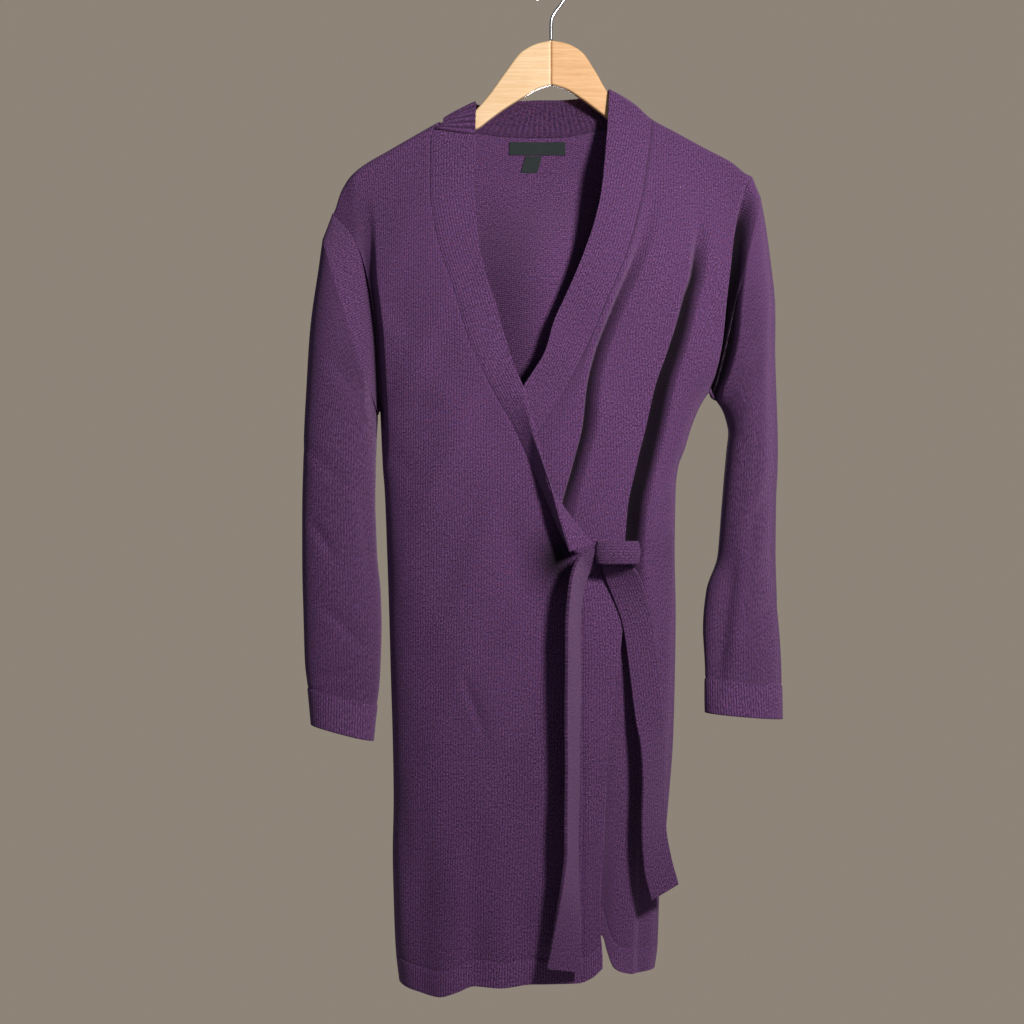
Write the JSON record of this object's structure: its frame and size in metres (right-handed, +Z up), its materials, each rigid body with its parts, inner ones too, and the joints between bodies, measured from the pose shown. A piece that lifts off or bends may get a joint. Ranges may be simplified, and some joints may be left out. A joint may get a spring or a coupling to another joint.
{
  "type": "wrap sweater dress on a wooden hanger",
  "caption": "knitted wrap dress with a V neck band, ribbed back collar, long sleeves and a side tie, hanging on a wooden hanger with a metal hook",
  "frame": {"origin": "the inside of the hook's crown, where a rail carries the hanger", "axes": "+Z up; the front of the dress faces -Y; the hanger's arms run along X, and the tie is on the +X side"},
  "size_m": [0.5262, 0.1765, 1.1128],
  "materials": {
    "plum_knit": "heathered wool knit, fine vertical wales",
    "band_knit": "smooth double knit",
    "rib_knit": "rib knit",
    "label_satin": "woven satin, bare",
    "maple_wood": "clear satin varnish",
    "hook_steel": "polished wire"
  },
  "bodies": {
    "root": {"back_panel": "plum_knit", "over_front_panel": "plum_knit", "under_front_panel": "plum_knit", "sleeve_right": "plum_knit", "sleeve_left": "plum_knit", "over_front_band": "band_knit", "over_front_lower_band": "band_knit", "under_front_band": "band_knit", "back_neck_collar": "rib_knit", "tie_end_long": "band_knit", "tie_end_short": "band_knit", "tie_knot_loop": "band_knit", "tie_lip": "band_knit", "neck_label": "label_satin", "size_tag": "label_satin", "hanger_arm_left": "maple_wood", "hanger_arm_right": "maple_wood", "hanger_hook": "hook_steel"}
  },
  "joints": []
}
